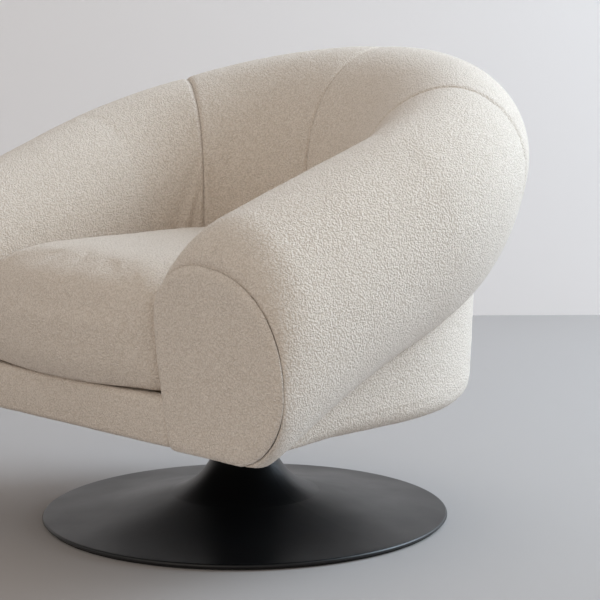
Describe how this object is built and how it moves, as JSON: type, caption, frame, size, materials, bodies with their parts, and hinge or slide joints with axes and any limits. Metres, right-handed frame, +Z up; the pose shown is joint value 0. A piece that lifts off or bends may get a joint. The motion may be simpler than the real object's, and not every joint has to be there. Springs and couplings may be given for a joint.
{
  "type": "tub chair",
  "caption": "Swivel tub chair: a chunky padded roll slopes from the arms up round the back over a plain lower tub, on a black trumpet disc base.",
  "frame": {"origin": "on the floor, on the swivel axis, at the centre of the base", "axes": "+Z up along the swivel axis, -Y towards the front of the chair at rest, +X to the right as seen from the front"},
  "size_m": [0.8922, 0.7508, 0.69],
  "materials": {
    "roll_fabric": "cream looped wool-look boucle, matt",
    "panel_fabric": "cream looped boucle, matt",
    "tub_fabric": "cream looped boucle, matt",
    "cushion_fabric": "cream looped boucle, matt",
    "black_metal": "satin black powder coat",
    "plate_paint": "black paint",
    "felt": "black felt",
    "cast_plate": "cast, painted black",
    "steel": "zinc-plated steel",
    "bearing_plastic": "black acetal",
    "plywood": "birch plywood",
    "timber": "planed softwood",
    "dust_cloth": "black non-woven cloth",
    "strap_webbing": "elastic webbing",
    "foam": "polyurethane foam"
  },
  "bodies": {
    "base": {"trumpet_shell": "black_metal", "floor_pad": "felt", "ballast_disc": "cast_plate", "column": "steel", "foot_bolts": "steel", "neck_sleeve": "bearing_plastic", "upper_bush": "bearing_plastic", "lower_bush": "bearing_plastic"},
    "tub": {"arm_front_panel_left": "panel_fabric", "arm_front_panel_right": "panel_fabric", "arm_roll_left": "roll_fabric", "arm_roll_right": "roll_fabric", "back_post": "timber", "back_roll_left": "roll_fabric", "back_roll_right": "roll_fabric", "board_nuts": "steel", "deck_foam": "foam", "dust_cover": "dust_cloth", "front_post_left": "timber", "front_post_right": "timber", "front_rail": "timber", "front_rail_cover": "tub_fabric", "plate_bolts": "steel", "retaining_bolt": "steel", "retaining_washer": "steel", "seat_board": "plywood", "seat_cushion": "cushion_fabric", "seat_straps": "strap_webbing", "spindle": "steel", "spring_frame": "timber", "swivel_plate": "plate_paint", "tub_cover": "tub_fabric", "wall_left": "plywood", "wall_right": "plywood"}
  },
  "joints": [
    {"name": "swivel", "type": "hinge", "parent": "base", "child": "tub", "pos_m": [0, 0, 0.16], "axis": [0, 0, 1], "continuous": true}
  ]
}
